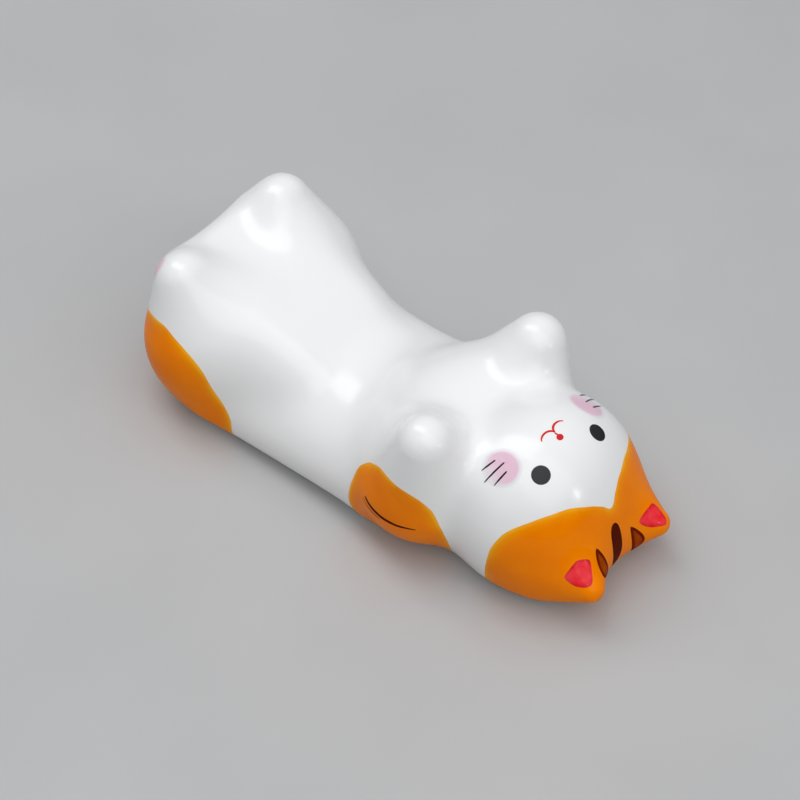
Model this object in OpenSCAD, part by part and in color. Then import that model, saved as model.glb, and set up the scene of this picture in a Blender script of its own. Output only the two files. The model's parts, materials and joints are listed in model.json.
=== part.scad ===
// Chopstick rest in the form of a cat that lies on its back.
// One slip-cast, glazed porcelain body stands on a flat bare foot, and its
// decoration is thin enamel fired onto the glaze, each colour a piece of its own.
// The head points along +X, the belly up along +Z, and the cat's left side
// faces -Y. The origin is on the table, under the dip that holds the chopsticks.
// All lengths are in millimetres and all turns in degrees.

/* [Trunk] */
// From the origin back to the middle of the trunk's rear end
trunk_rear_x = 19; // [17:0.5:21]
// From the origin forward to the middle of the trunk's front end
trunk_front_x = 3.5; // [2:0.5:5]
// Height of the trunk's middle line at its rear end
trunk_rear_z = 2.5; // [2:0.1:3.5]
// Height of the trunk's middle line at its front end
trunk_front_z = 4.6; // [4:0.1:5.2]
// Length of the round end past the middle line
trunk_half_l = 8.9; // [8:0.1:10]
// Half of the trunk's width
trunk_half_w = 12.5; // [11.5:0.1:13.5]
// Height of the trunk's top above its middle line
trunk_half_h = 8; // [7.2:0.1:8.8]

/* [Rump] */
// From the origin back to the seat's middle line
seat_x = 23; // [22:0.2:24.4]
// Half of the straight part of the seat, across the cat
seat_side = 5.5; // [4.8:0.1:6.2]
// Height of the seat's middle line
seat_z = 7.9; // [7.2:0.1:8.8]
// Half of the seat's thickness along the cat
seat_half_l = 8; // [7.4:0.1:8.8]
// Roundness of the seat's two sides
seat_half_w = 8.7; // [8:0.1:9.4]
// Half of the seat's height
seat_half_h = 8.3; // [7.7:0.1:9]
// From the origin back to the middle line of the thighs
thigh_x = 15.1; // [14.3:0.2:16.7]
// Half of the straight part of the thighs, across the cat
thigh_side = 4.5; // [3.8:0.1:5.2]
// Height of the thighs' middle line
thigh_z = 8; // [7.2:0.1:8.4]
// Half of the thighs' thickness along the cat
thigh_half_l = 9.1; // [8.4:0.1:9.6]
// Roundness of the thighs' two sides
thigh_half_w = 5.9; // [5.4:0.1:6.6]
// Half of the thighs' height
thigh_half_h = 7.2; // [6.6:0.1:7.8]

/* [Hind legs] */
// From the origin back to the ridge that joins the hind legs
ridge_x = 27.3; // [26.1:0.2:28.3]
// Half of the ridge's straight part
ridge_side = 5.5; // [4.8:0.1:6.2]
// Height of the ridge's middle line
ridge_z = 15.1; // [14.4:0.1:15.8]
// Radius of the ridge
ridge_r = 2.6; // [2.2:0.1:3]
// From the origin back to the root of the hind leg
hip_x = 22.8; // [21.8:0.2:23.8]
// From the middle plane out to the root of the hind leg
hip_side = 8.5; // [8:0.1:9]
// Height of the root of the hind leg
hip_z = 10.6; // [9.9:0.1:11.3]
// Radius of the root of the hind leg
hip_r = 5.2; // [4.7:0.1:5.6]
// From the origin back to the hind paw's tip
paw_x = 25.2; // [24.4:0.2:26.2]
// From the middle plane out to the hind paw's tip
paw_side = 8.6; // [8.1:0.1:9.1]
// Height of the centre of the hind paw's tip
paw_z = 17.7; // [16.9:0.1:18.5]
// Radius of the hind paw's tip
paw_r = 2.7; // [2.4:0.1:3]

/* [Chest and arms] */
// From the origin forward to the middle of the chest
chest_x = 7.9; // [7:0.1:8.8]
// Height of the chest's middle
chest_z = 7.3; // [6.8:0.1:7.8]
// Half of the chest's length
chest_half_l = 9.2; // [8.6:0.1:10]
// Half of the chest's width
chest_half_w = 10.1; // [9.4:0.1:10.8]
// Half of the chest's height
chest_half_h = 9.3; // [8.6:0.1:9.8]
// From the origin forward to the shoulder
shoulder_x = 9.8; // [9.1:0.1:10.5]
// From the middle plane out to the shoulder
shoulder_side = 7.9; // [7.4:0.1:8.4]
// Height of the shoulder
shoulder_z = 8.3; // [7.7:0.1:8.9]
// Radius of the shoulder
shoulder_r = 6.5; // [6.1:0.1:7]
// From the origin forward to the hand's tip
hand_x = 11.7; // [11:0.1:12.4]
// From the middle plane out to the hand's tip
hand_side = 9.7; // [9.1:0.1:10.3]
// Height of the centre of the hand's tip
hand_z = 17.8; // [17:0.1:18.6]
// Radius of the hand's tip
hand_r = 3.1; // [2.7:0.1:3.5]

/* [Head and ears] */
// From the origin forward to the middle of the head
head_x = 20.3; // [19.6:0.1:21]
// Height of the head's middle
head_z = 7.9; // [7.4:0.1:8.4]
// Half of the head's length
head_half_l = 9.7; // [9.2:0.1:10.2]
// Half of the head's width
head_half_w = 11.4; // [10.8:0.1:12]
// Half of the head's height
head_half_h = 10.7; // [10.1:0.1:11.3]
// From the origin forward to the root of the ear
ear_root_x = 25.3; // [24.7:0.1:25.9]
// From the middle plane out to the root of the ear
ear_root_side = 4; // [3.7:0.1:4.4]
// Height of the ear's root
ear_root_z = 4.8; // [4.5:0.1:5.2]
// Radius of the ear's root
ear_root_r = 5.3; // [4.8:0.1:5.6]
// From the origin forward to the ear's tip
ear_tip_x = 31.8; // [31.2:0.1:32.4]
// From the middle plane out to the ear's tip
ear_tip_side = 6; // [5.6:0.1:6.4]
// Height of the ear's tip
ear_tip_z = 5.2; // [4.8:0.1:5.6]
// Radius of the ear's tip
ear_tip_r = 1.35; // [1.2:0.05:1.6]

/* [Foot] */
// From the origin back to the rear end of the core above the foot
foot_rear_x = 22; // [21:0.5:23]
// From the origin forward to the front end of the core above the foot
foot_front_x = 19.5; // [18.5:0.5:20]
// Length of the core's round end
foot_half_l = 7; // [6.4:0.1:7.4]
// Half of the core's width
foot_half_w = 8.5; // [8:0.1:9]
// Half of the core's height
foot_half_h = 6; // [5.4:0.1:6.6]

/* [Skin] */
// Width over which neighbouring forms run together
melt = 1.4; // [1.1:0.1:1.7]
// Width of the rounding between the walls and the flat foot
foot_edge = 3; // [2.4:0.1:3.6]

/* [Enamel] */
// Thickness of a coat of enamel
coat_t = 0.15; // [0.12:0.01:0.25]
// Clearance between a coat and what it lies on
coat_gap = 0.06; // [0.04:0.01:0.1]
// Height of the bare band between the table and the enamel
bare_band = 1.2; // [0.8:0.1:1.6]

/* [Face] */
// Turn of the painted face towards the cat's left
face_turn_angle = 6.5; // [0:0.5:9]
// Diameter of an eye
eye_d = 2.1; // [1.6:0.05:2.4]
// Lean of the eyes from straight up towards the crown
eye_lean_angle = 22.5; // [18.5:0.5:26]
// Turn of the eyes away from the middle plane
eye_turn_angle = 24; // [20:0.5:28]
// Width of the blush on a cheek
cheek_w = 3.8; // [3.2:0.1:4.4]
// Height of the blush on a cheek, from the chin's side to the crown's side
cheek_h = 4.2; // [3.4:0.1:4.6]
// Lean of the cheeks from straight up towards the crown
cheek_lean_angle = 2.5; // [0:0.5:5]
// Turn of the cheeks away from the middle plane
cheek_turn_angle = 36; // [34:1:40]
// Width of the nose
nose_w = 0.85; // [0.6:0.05:1.1]
// Height of the nose, without the tail that runs down from it
nose_h = 0.75; // [0.5:0.05:1]
// Lean of the nose from straight up towards the crown
nose_lean_angle = 12; // [11:0.5:14]
// Lean of the mouth's middle from straight up towards the crown
mouth_lean_angle = 8; // [6:0.5:9]
// Half of the width of each of the mouth's two arcs
mouth_r = 1; // [0.8:0.05:1.2]
// Depth of each of the mouth's two arcs
mouth_h = 0.75; // [0.5:0.05:1]
// Width of the mouth's line
mouth_w = 0.24; // [0.15:0.01:0.35]
// Width of a whisker
whisker_w = 0.2; // [0.12:0.01:0.3]

/* [Tabby stripes] */
// Length of the middle stripe on the forehead
middle_stripe_l = 7; // [5.8:0.1:7.6]
// Width of the middle stripe
middle_stripe_w = 1.5; // [1:0.1:1.8]
// Length of the stripe beside it on the cat's left
left_stripe_l = 4.2; // [3.4:0.1:4.8]
// Length of the stripe beside it on the cat's right
right_stripe_l = 5; // [4.2:0.1:5.6]
// Width of the left and the right stripe
side_stripe_w = 1.3; // [0.9:0.1:1.6]

/* [Limb markings] */
// Width of the brown line on the elbow where the brush sets down
elbow_line_w = 0.42; // [0.25:0.01:0.6]
// Width of the pink pad under a hind paw
pad_w = 3; // [2.4:0.1:3.4]
// Height of the pink pad under a hind paw
pad_h = 3.8; // [3:0.1:4.2]

/* [Hidden] */

// Colours of the glaze and the enamels
porcelain = "whitesmoke";
amber = "orange";
umber = "saddlebrown";
ink = "#2b2523";
rose = "lightpink";
scarlet = "#d8232f";
coral = "#ee5566";

// Points round the outline of a spot, and rings from its centre to there
spot_points = 16;
spot_rings = 2;
// The wide blush on a cheek gets finer ones
blush_points = 24;
blush_rings = 4;
// Columns and rows of the orange cap, and of the two smaller patches
cap_cols = 44;
cap_rows = 9;
patch_cols = 20;
patch_rows = 8;
// A coat that lies on another coat starts this far above the glaze
second_coat = 2 * coat_gap + coat_t;
// No ray from inside the body is longer than this
far = hand_z + hand_side;
// The map of the skin starts along this stretch of the foot's middle line
map_rear = -trunk_rear_x;
map_front = head_x - ear_tip_r;

// Rounded masses of the body: first and last middle point, and half sizes
MASSES = [
    [[-trunk_rear_x, 0, trunk_rear_z], [trunk_front_x, 0, trunk_front_z],
        [trunk_half_l, trunk_half_w, trunk_half_h]],
    [[-seat_x, -seat_side, seat_z], [-seat_x, seat_side, seat_z],
        [seat_half_l, seat_half_w, seat_half_h]],
    [[-thigh_x, -thigh_side, thigh_z], [-thigh_x, thigh_side, thigh_z],
        [thigh_half_l, thigh_half_w, thigh_half_h]],
    [[-ridge_x, -ridge_side, ridge_z], [-ridge_x, ridge_side, ridge_z],
        [ridge_r, ridge_r, ridge_r]],
    [[chest_x, 0, chest_z], [chest_x, 0, chest_z],
        [chest_half_l, chest_half_w, chest_half_h]],
    [[head_x, 0, head_z], [head_x, 0, head_z],
        [head_half_l, head_half_w, head_half_h]],
    [[-foot_rear_x, 0, 0], [foot_front_x, 0, 0],
        [foot_half_l, foot_half_w, foot_half_h]]];

// Tapered limbs: root, tip, and their radii, on both sides
LIMBS = [for (s = [-1, 1]) each [
    [[-hip_x, s * hip_side, hip_z], [-paw_x, s * paw_side, paw_z], hip_r, paw_r],
    [[shoulder_x, s * shoulder_side, shoulder_z], [hand_x, s * hand_side, hand_z],
        shoulder_r, hand_r],
    [[ear_root_x, s * ear_root_side, ear_root_z], [ear_tip_x, s * ear_tip_side, ear_tip_z],
        ear_root_r, ear_tip_r]]];

head_c = [head_x, 0, head_z];

// Signed distance to a mass: an ellipsoid drawn out along a straight line
function mass(p, f) =
    let (along = f[1] - f[0],
        l2 = along * along,
        t = l2 > 0 ? max(0, min(1, (p - f[0]) * along / l2)) : 0,
        q = p - f[0] - t * along,
        u = [q.x / f[2].x, q.y / f[2].y, q.z / f[2].z],
        slope = norm([u.x / f[2].x, u.y / f[2].y, u.z / f[2].z]))
    slope > 0 ? norm(u) * (norm(u) - 1) / slope : -min(f[2]);

// Signed distance to a limb: two spheres and the cone that touches both
function limb(p, f) =
    let (along = f[1] - f[0],
        l2 = along * along,
        taper = f[2] - f[3],
        rise2 = l2 - taper * taper,
        y = (p - f[0]) * along,
        z = y - l2,
        w = (p - f[0]) * l2 - along * y,
        x2 = w * w,
        k = sign(taper) * taper * taper * x2)
    sign(z) * rise2 * z * z * l2 > k ? sqrt(x2 + z * z * l2) / l2 - f[3] :
    sign(y) * rise2 * y * y * l2 < k ? sqrt(x2 + y * y * l2) / l2 - f[2] :
    (sqrt(x2 * rise2 / l2) + y * taper) / l2 - f[2];

function total(v) = [for (i = v) 1] * v;

// The skin of the body: all masses and limbs melted together, then
// run with a soft edge into the flat foot. It is negative inside.
function skin(p) =
    let (near = [for (f = MASSES) exp(-mass(p, f) / melt)],
        out = [for (f = LIMBS) exp(-limb(p, f) / melt)],
        d = -melt * ln(total(near) + total(out)),
        h = max(foot_edge - abs(d + p.z), 0) / foot_edge)
    max(d, -p.z) + h * h * foot_edge / 4;

// How far along n from o the skin lies, or the level that is lift above it
function reach(o, n, lift, lo = 0, hi = far, steps = 11) =
    let (mid = (lo + hi) / 2)
    steps > 0 ? (skin(o + mid * n) > lift ? reach(o, n, lift, lo, mid, steps - 1)
        : reach(o, n, lift, mid, hi, steps - 1))
    : let (a = skin(o + lo * n) - lift, b = skin(o + hi * n) - lift)
        b > a ? max(lo, min(hi, lo - a * (hi - lo) / (b - a))) : mid;

// Unit vector at a turn about +Z from +X and a rise above the table
function aim(turn, rise) = [cos(turn) * cos(rise), sin(turn) * cos(rise), sin(rise)];

function unit(v) = v / norm(v);

// Value at x of straight runs through points [x, y]
function along_points(pts, x, i = 0) =
    x <= pts[i][0] ? pts[i][1] :
    i + 2 > len(pts) ? pts[i][1] :
    x <= pts[i + 1][0] ?
        let (s = (x - pts[i][0]) / (pts[i + 1][0] - pts[i][0]))
        pts[i][1] + (pts[i + 1][1] - pts[i][1]) * s :
    along_points(pts, x, i + 1);

// Faces of a sheet of a by b points, of a fan of rings round a centre point,
// and the edge of each as a closed run of points
function sheet_faces(a, b) = [for (i = [0 : a - 2], j = [0 : b - 2])
    each [[i * b + j, i * b + j + 1, (i + 1) * b + j + 1],
        [i * b + j, (i + 1) * b + j + 1, (i + 1) * b + j]]];
function sheet_edge(a, b) = concat(
    [for (j = [0 : b - 2]) j],
    [for (i = [0 : a - 2]) i * b + b - 1],
    [for (j = [b - 1 : -1 : 1]) (a - 1) * b + j],
    [for (i = [a - 1 : -1 : 1]) i * b]);
function fan_faces(rings, m) = concat(
    [for (j = [0 : m - 1]) [0, 1 + j, 1 + (j + 1) % m]],
    [for (i = [0 : rings - 2], j = [0 : m - 1])
        let (p = 1 + i * m, k = (j + 1) % m)
        each [[p + j, p + m + j, p + m + k], [p + j, p + m + k, p + k]]]);
function fan_edge(rings, m) = [for (j = [0 : m - 1]) 1 + (rings - 1) * m + j];
function fan_points(middle, outline, rings) = concat([middle],
    [for (i = [1 : rings], q = outline) middle + (q - middle) * i / rings]);

// A coat of enamel: rays from o meet the skin, and the sheet that they
// mark is closed between the level lift and the coat's outer face
module coat(o, rays, faces, edge, lift) {
    n = len(rays);
    low = [for (r = rays) o + r * reach(o, r, lift)];
    top = [for (r = rays) o + r * reach(o, r, lift + coat_t)];
    m = len(edge);
    sides = [for (i = [0 : m - 1])
        let (a = edge[i], b = edge[(i + 1) % m])
        each [[n + a, a, b], [n + a, b, n + b]]];
    inner = [for (f = faces) [f[2], f[1], f[0]]];
    outer = [for (f = faces) [n + f[0], n + f[1], n + f[2]]];
    polyhedron(points = concat(low, top), faces = concat(inner, outer, sides));
}

// A patch that starts at the bare band and rises to the points of its brim,
// given as [turn, rise] seen from o
module wrap(o, brim, cols, rows, lift) {
    first = brim[0][0];
    last = brim[len(brim) - 1][0];
    rays = [for (i = [0 : cols], j = [0 : rows])
        let (turn = first + (last - first) * i / cols)
        aim(turn, along_points(brim, turn) * j / rows)];
    coat(o, rays, sheet_faces(cols + 1, rows + 1), sheet_edge(cols + 1, rows + 1), lift);
}

// Direction on the head at a lean towards the crown and a turn to the side
function gaze(lean, side) =
    let (v = [sin(lean) * cos(side), sin(side), cos(lean) * cos(side)])
    [v.x * cos(face_turn_angle) + v.y * sin(face_turn_angle),
        v.y * cos(face_turn_angle) - v.x * sin(face_turn_angle), v.z];

// A filled spot on the skin round the direction n, whose outline is points
// [across, up] in millimetres. up_hint tells which way is up.
module spot(o, n, up_hint, outline, rings, lift) {
    across = unit(cross(n, up_hint));
    up = cross(across, n);
    l = reach(o, n, lift);
    rays = [for (q = fan_points([0, 0], outline, rings)) unit(l * n + q.x * across + q.y * up)];
    coat(o, rays, fan_faces(rings, len(outline)), fan_edge(rings, len(outline)), lift);
}

// A brush line of width w through points [across, up] round the direction n
module line(o, n, up_hint, path, w, lift) {
    across = unit(cross(n, up_hint));
    up = cross(across, n);
    l = reach(o, n, lift);
    m = len(path);
    rays = [for (i = [0 : m - 1], s = [1, -1])
        let (d = unit(path[min(i + 1, m - 1)] - path[max(i - 1, 0)]),
            q = path[i] + s * w / 2 * [-d.y, d.x])
        unit(l * n + q.x * across + q.y * up)];
    coat(o, rays, sheet_faces(m, 2), sheet_edge(m, 2), lift);
}

// An oval outline of m points
function oval(w, h, m) = [for (i = [0 : m - 1])
    let (a = 360 * i / m)
    [w / 2 * cos(a), h / 2 * sin(a)]];

// Columns of the skin's map on the left side: [start on the foot's middle
// line, turn of the ray], from the rear round the side to the crown
rear_cols = 15;
belly_cols = 18;
arm_cols = 24;
neck_cols = 6;
crown_cols = 20;
rows = 27;
// Rays crowd a little towards the foot, and the last ones would stand upright
row_power = 9 / 8;
upright_angle = 90;
arm_from = shoulder_x - shoulder_r;
arm_to = hand_x + 3 / 2 * hand_r;
function run(from, to, n) = [for (i = [0 : n - 1]) from + (to - from) * i / n];
function left_columns() = concat(
    [for (a = run(180, 270, rear_cols)) [map_rear, a]],
    [for (x = run(map_rear, arm_from, belly_cols)) [x, 270]],
    [for (x = run(arm_from, arm_to, arm_cols)) [x, 270]],
    [for (x = run(arm_to, map_front, neck_cols)) [x, 270]],
    [for (a = run(270, 360, crown_cols)) [map_front, a]],
    [[map_front, 360]]);

// The casting. Its left half is mapped by rays that start on the foot's
// middle line, and the right half mirrors it.
module porcelain_body() {
    cols = left_columns();
    n = len(cols);
    loop = 2 * n - 2;
    left = [for (c = cols) [for (j = [0 : rows - 1])
        let (o = [c[0], 0, 0], r = aim(c[1], upright_angle * pow(j / rows, row_power)))
        j == 0 ? [o.x + reach(o, r, 0) * r.x, reach(o, r, 0) * r.y, 0] :
        o + reach(o, r, 0) * r]];
    right = [for (i = [n - 2 : -1 : 1]) [for (p = left[i]) [p.x, -p.y, p.z]]];
    // The seam along the back of the map has one point for each start
    starts = [for (c = cols) if (c[1] == 270) c[0]];
    seam = [for (x = starts) [x, 0, reach([x, 0, 0], [0, 0, 1], 0)]];
    points = concat([for (c = concat(left, right)) each c], seam);
    base = loop * rows;
    k = len(starts);
    function seam_of(i) =
        let (c = i < n ? i : loop - i)
        base + max(0, min(k - 1, c - rear_cols));
    walls = [for (i = [0 : loop - 1], j = [0 : rows - 2])
        let (a = i * rows + j, b = ((i + 1) % loop) * rows + j)
        each [[a, a + 1, b + 1], [a, b + 1, b]]];
    tops = [for (i = [0 : loop - 1])
        let (a = i * rows + rows - 1, b = ((i + 1) % loop) * rows + rows - 1,
            s = seam_of(i), t = seam_of((i + 1) % loop))
        each s == t ? [[a, s, b]] : [[a, s, t], [a, t, b]]];
    // The foot is closed by strips between each left column and its mirror
    foot = [for (i = [0 : n - 2])
        let (a = i * rows, b = (i + 1) * rows,
            c = (loop - i - 1) * rows, d = ((loop - i) % loop) * rows)
        each concat(a == d ? [] : [[a, b, d]], b == c ? [] : [[b, c, d]])];
    color(porcelain) polyhedron(points = points, faces = concat(walls, tops, foot));
}

// The orange cap over the crown, both ears and the sides of the head. Its
// brim dips to a point in the middle of the forehead.
cap_brim_angle = [[-87, 8], [-85.5, 15], [-83.5, 25], [-81, 36.5], [-74, 46], [-64, 51],
    [-50, 55], [-33, 57], [-17, 55], [-7, 52], [0, 48.5], [9, 52.5], [19, 55], [31, 55.5],
    [46, 53], [62, 47], [72, 41], [80, 31], [85, 20], [88, 10]];
module head_patch() {
    color(amber) wrap([head_x, 0, bare_band], cap_brim_angle, cap_cols, cap_rows, coat_gap);
}

// The orange patch on the left elbow
elbow_brim_angle = [[233.5, 30], [234, 38], [235.5, 43.5], [246.5, 51.5], [260.5, 54], [276.5, 52],
    [290, 50], [300.5, 45.5], [306.5, 36.5], [311, 26], [314.5, 10]];
elbow_o = [shoulder_x, -shoulder_side / 2, bare_band];
module elbow_patch() {
    color(amber) wrap(elbow_o, elbow_brim_angle, patch_cols, patch_rows, coat_gap);
}

// The orange patch on the left of the rump, round to the rear
rump_brim_angle = [[192, 12], [197, 28], [207, 39], [222, 46], [242, 50], [253, 51.5], [264, 52],
    [276.5, 49.5], [286, 46], [294, 40.5], [299.5, 32], [305.5, 22.5], [309, 14], [310, 5]];
rump_o = [-seat_x, -seat_side / 2, bare_band];
module rump_patch() {
    color(amber) wrap(rump_o, rump_brim_angle, patch_cols, patch_rows, coat_gap);
}

// The brown line on the elbow patch, a shallow arc that thins out forwards
elbow_line_angle = [[252, 36], [257.5, 34], [264.5, 33], [271, 32.5], [278, 32.5], [284.5, 33],
    [291.5, 33.5]];
elbow_line_end_share = 0.4;
module elbow_line() {
    m = len(elbow_line_angle);
    middle = elbow_line_angle[floor(m / 2)];
    l = reach(elbow_o, aim(middle[0], middle[1]), second_coat);
    // Half of the line's width as an angle seen from the patch's origin
    half = atan(elbow_line_w / 2 / l);
    rays = [for (i = [0 : m - 1], s = [-1, 1])
        let (q = elbow_line_angle[i], w = 1 - (1 - elbow_line_end_share) * i / (m - 1))
        aim(q[0], q[1] + s * w * half)];
    color(umber) coat(elbow_o, rays, sheet_faces(m, 2), sheet_edge(m, 2), second_coat);
}

module eye(s) {
    color(ink) spot(head_c, gaze(eye_lean_angle, s * eye_turn_angle), [1, 0, 0],
        oval(eye_d, eye_d, spot_points), spot_rings, coat_gap);
}
module left_eye() eye(-1);
module right_eye() eye(1);

module cheek(s) {
    color(rose) spot(head_c, gaze(cheek_lean_angle, s * cheek_turn_angle), [1, 0, 0],
        oval(cheek_w, cheek_h, blush_points), blush_rings, coat_gap);
}
module left_cheek() cheek(-1);
module right_cheek() cheek(1);

// The nose is an oval, and a thin tail runs from it down to the mouth
module nose() {
    n = gaze(nose_lean_angle, 0);
    tail = reach(head_c, n, coat_gap) * tan(nose_lean_angle - mouth_lean_angle) - mouth_w;
    round_part = [for (a = [-60 : 30 : 240]) [nose_w / 2 * cos(a), nose_h / 2 * sin(a)]];
    outline = concat(round_part, [[-mouth_w / 2, -tail], [mouth_w / 2, -tail]]);
    color(scarlet) spot(head_c, n, [1, 0, 0], outline, spot_rings, coat_gap);
}

// Two arcs side by side that bulge towards the chin
module mouth() {
    arc = [for (a = [180 : 15 : 330]) [mouth_r + mouth_r * cos(a), mouth_h * sin(a)]];
    mirrored = [for (i = [len(arc) - 1 : -1 : 1]) [-arc[i].x, arc[i].y]];
    color(scarlet) line(head_c, gaze(mouth_lean_angle, 0), [1, 0, 0], concat(mirrored, arc),
        mouth_w, coat_gap);
}

// Three whiskers on a cheek, each from [lean, turn] near the nose outwards.
// They are drawn by hand, so the two sides differ.
left_whisker_angle = [[[-7, -35], [-12, -44]], [[-0.5, -33], [-5, -49]], [[5, -36], [4, -47]]];
right_whisker_angle = [[[-12, 41], [-19, 52]], [[-2, 37], [-12, 55]], [[4.5, 38], [2.5, 50]]];
whisker_points = 7;
module whiskers(ends) {
    color(ink) for (w = ends) {
        a = gaze(w[0][0], w[0][1]);
        b = gaze(w[1][0], w[1][1]);
        n = unit(a + b);
        l = reach(head_c, n, second_coat) * norm(b - a);
        path = [for (i = [0 : whisker_points - 1]) [0, l * (i / (whisker_points - 1) - 1 / 2)]];
        line(head_c, n, b - a, path, whisker_w, second_coat);
    }
}
module left_whiskers() whiskers(left_whisker_angle);
module right_whiskers() whiskers(right_whisker_angle);

// A tabby stripe on the forehead, over the orange cap: a leaf with two
// pointed ends whose upper end tilts to the cat's left. left_share of its
// width lies on that side of its middle line.
module stripe(angles, w, l, left_share) {
    tilt = angles[2];
    outline = [for (i = [0 : spot_points - 1])
        let (a = 360 * i / spot_points,
            side = cos(a) > 0 ? left_share : 1 - left_share)
        [w * side * cos(a) * (1 - pow(sin(a), 2) / 2), l / 2 * sin(a)]];
    color(umber) spot(head_c, aim(angles[0], angles[1]), [0, -sin(tilt), cos(tilt)], outline,
        spot_rings, second_coat);
}
// Turn, rise and tilt of each stripe
middle_stripe_angle = [-2, -6.5, 0];
left_stripe_angle = [-16.5, -4.5, 17];
right_stripe_angle = [12, -13.5, 7];
// A side stripe bulges away from the middle one
bulge_share = 0.7;
module middle_stripe() stripe(middle_stripe_angle, middle_stripe_w, middle_stripe_l, 1 / 2);
module left_stripe() stripe(left_stripe_angle, side_stripe_w, left_stripe_l, bulge_share);
module right_stripe() stripe(right_stripe_angle, side_stripe_w, right_stripe_l, 1 - bulge_share);

// The pink lining on the upper side of an ear, whose corners are
// [turn, rise] seen from the ear's root. It is dabbed on, so the ears differ.
left_lining_angle = [[-21, 38], [-10.5, 33.5], [-14, 22.5], [-20, 14.5], [-32, 14.5], [-41.5, 22],
    [-40.5, 27.5], [-29, 37]];
right_lining_angle = [[20.5, 26.5], [21.5, 19], [15.5, 9.5], [9.5, 9.5], [-0.5, 14.5], [-7, 24.5],
    [3.5, 28.5], [14, 28.5]];
module ear_lining(s, corners) {
    m = len(corners);
    outline = [for (i = [0 : m - 1], t = [0, 1 / 2])
        (1 - t) * corners[i] + t * corners[(i + 1) % m]];
    rays = [for (q = fan_points(total(corners) / m, outline, spot_rings)) aim(q[0], q[1])];
    color(coral) coat([ear_root_x, s * ear_root_side, ear_root_z], rays,
        fan_faces(spot_rings, 2 * m), fan_edge(spot_rings, 2 * m), second_coat);
}
module left_ear_lining() ear_lining(-1, left_lining_angle);
module right_ear_lining() ear_lining(1, right_lining_angle);

// The pad under a hind paw faces the rear, a little outwards and upwards
pad_turn_angle = 12;
pad_rise_angle = 18;
module paw_pad(s) {
    color(rose) spot([-paw_x, s * paw_side, paw_z], aim(180 - s * pad_turn_angle, pad_rise_angle),
        [0, 0, 1], oval(pad_w, pad_h, spot_points), spot_rings, coat_gap);
}
module left_paw_pad() paw_pad(-1);
module right_paw_pad() paw_pad(1);

porcelain_body();
head_patch();
elbow_patch();
rump_patch();
elbow_line();
left_eye();
right_eye();
left_cheek();
right_cheek();
nose();
mouth();
left_whiskers();
right_whiskers();
middle_stripe();
left_stripe();
right_stripe();
left_ear_lining();
right_ear_lining();
left_paw_pad();
right_paw_pad();
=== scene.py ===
# %% [markdown]
# # A chopstick rest in the form of a cat that lies on its back
#
# The real object is about as long as a thumb. It is one slip-cast porcelain
# body under a clear glaze, and its markings are enamel colours, brushed onto
# the glaze and fired once more. This notebook dresses the plain CAD solids:
# it makes a fine porcelain skin and one thin shell for each coat of enamel,
# gives each its finish, and lights them as on a pale table.
#
# Every piece is worked out in millimetres and handed to Blender in metres.

import json
import math

import bpy
import numpy as np
from mathutils import Matrix, Vector

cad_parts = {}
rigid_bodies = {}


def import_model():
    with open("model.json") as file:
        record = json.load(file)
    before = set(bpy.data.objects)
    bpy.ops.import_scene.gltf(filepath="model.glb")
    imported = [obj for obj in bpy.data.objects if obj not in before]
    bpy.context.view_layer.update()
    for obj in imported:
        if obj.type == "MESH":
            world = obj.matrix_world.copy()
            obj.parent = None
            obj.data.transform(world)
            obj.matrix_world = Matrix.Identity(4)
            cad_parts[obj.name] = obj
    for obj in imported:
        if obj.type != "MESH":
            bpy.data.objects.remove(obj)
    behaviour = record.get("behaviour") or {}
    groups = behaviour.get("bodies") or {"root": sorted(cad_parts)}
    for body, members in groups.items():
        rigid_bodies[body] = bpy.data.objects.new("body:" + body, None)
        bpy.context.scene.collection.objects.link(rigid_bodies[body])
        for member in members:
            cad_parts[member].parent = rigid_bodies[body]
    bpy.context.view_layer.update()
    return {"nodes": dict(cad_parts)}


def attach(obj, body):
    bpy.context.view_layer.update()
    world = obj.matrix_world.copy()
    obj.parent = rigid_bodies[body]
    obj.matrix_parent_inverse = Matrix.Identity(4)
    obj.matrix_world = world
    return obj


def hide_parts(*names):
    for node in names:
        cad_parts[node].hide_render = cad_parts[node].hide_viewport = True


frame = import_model()
MM = 0.001

# %% [markdown]
# ## The camera
#
# The photograph was taken from the side of the cat's left ear, from well
# above the table, with a long lens, so that near and far paws look almost
# alike in size. A camera in Blender looks along its own -Z, so its matrix is
# built from three directions: right, up and back. The small roll turns the
# picture about the line of sight.

# %% Place the camera
AZIMUTH, ELEVATION, ROLL = 41, 48.5, -0.9   # in degrees
DISTANCE = 280                              # from the cat, in mm
AIM = Vector((0, -0.25, 8))                 # the point it looks at, in mm
SENSOR, LENS = 36, 110.88
NEAREST, FURTHEST = 0.02, 10                # what it sees, in metres

a, e, r = (math.radians(v) for v in (AZIMUTH, ELEVATION, ROLL))
back = Vector((math.sin(a) * math.cos(e), -math.cos(a) * math.cos(e), math.sin(e)))
level = Vector((math.cos(a), math.sin(a), 0))
rise = back.cross(level)
right = level * math.cos(r) + rise * math.sin(r)
up = rise * math.cos(r) - level * math.sin(r)

camera = bpy.data.objects.new("camera", bpy.data.cameras.new("camera"))
bpy.context.scene.collection.objects.link(camera)
camera.data.lens = LENS
camera.data.sensor_width = SENSOR
camera.data.clip_start, camera.data.clip_end = NEAREST, FURTHEST
camera.matrix_world = (Matrix.Translation((AIM + back * DISTANCE) * MM)
                       @ Matrix((right, up, back)).transposed().to_4x4())
bpy.context.scene.camera = camera
print("camera at", [round(v / MM) for v in camera.location], "mm")

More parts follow.
